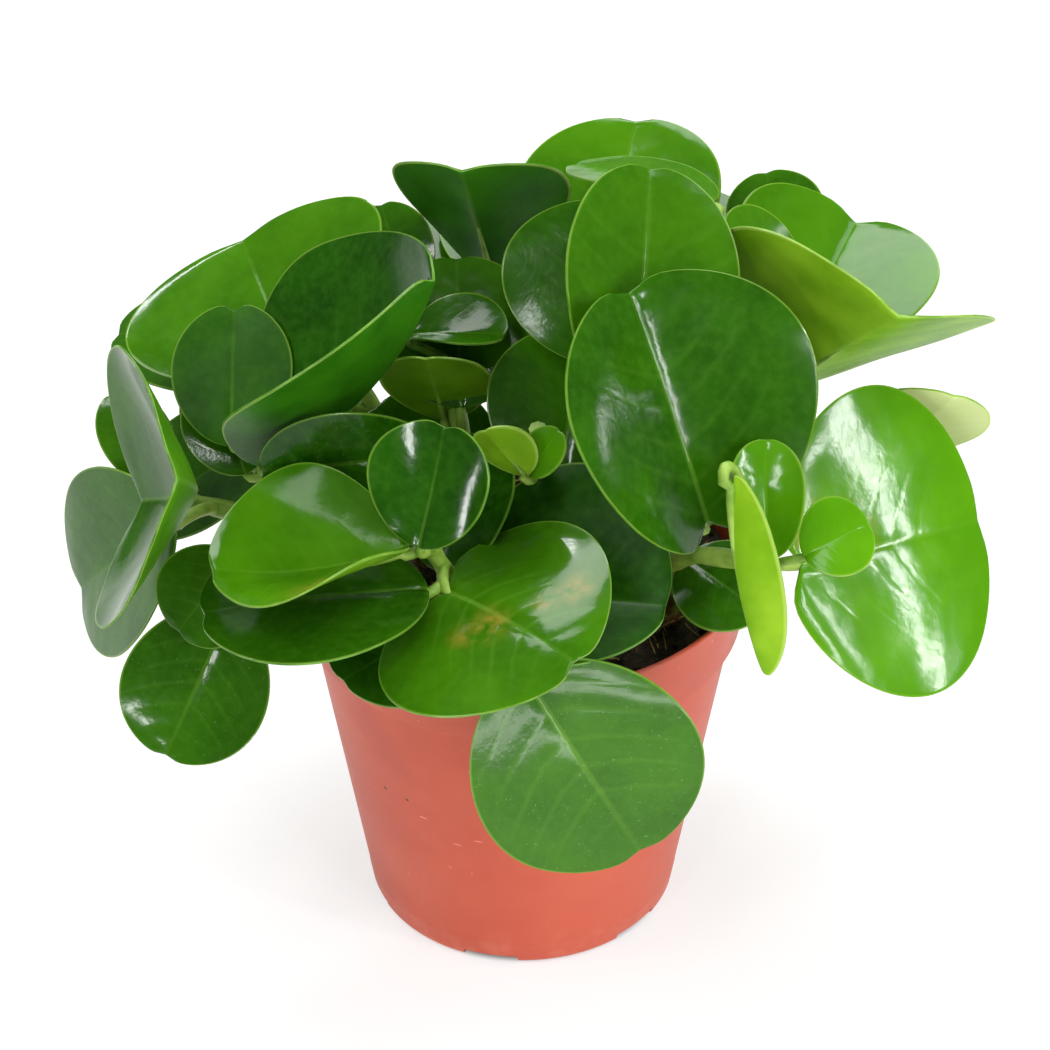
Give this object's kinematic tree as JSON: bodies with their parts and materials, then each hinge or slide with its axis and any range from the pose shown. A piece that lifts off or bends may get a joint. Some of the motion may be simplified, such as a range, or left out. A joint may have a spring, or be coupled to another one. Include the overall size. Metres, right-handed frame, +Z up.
{
  "type": "potted peperomia",
  "caption": "Bushy house plant with thick round glossy leaves, growing from dark soil in a plain tapered plastic nursery pot with a collar rim.",
  "frame": {"origin": "middle of the pot's flat underside, on the surface it stands on", "axes": "+Z up along the pot's axis, -Y towards the plant's front, +X to the right seen from the front"},
  "size_m": [0.2492, 0.2163, 0.2183],
  "materials": {
    "pot_plastic": "semi-matte terracotta-coloured plastic, lightly scuffed",
    "peat": "dark crumbly peat with pale fibres",
    "foliage": "thick waxy leaves, glossy above, paler and matt below, with a thin pale margin"
  },
  "bodies": {
    "root": {"pot": "pot_plastic", "soil": "peat", "shoot_front": "foliage", "shoot_left_front": "foliage", "shoot_left": "foliage", "shoot_upper_left": "foliage", "shoot_centre_left": "foliage", "shoot_centre": "foliage", "shoot_centre_right": "foliage", "shoot_right_front": "foliage", "shoot_right_top": "foliage", "shoot_top": "foliage", "shoot_right": "foliage", "shoot_back_left": "foliage", "shoot_back": "foliage", "shoot_back_right": "foliage"}
  },
  "joints": []
}
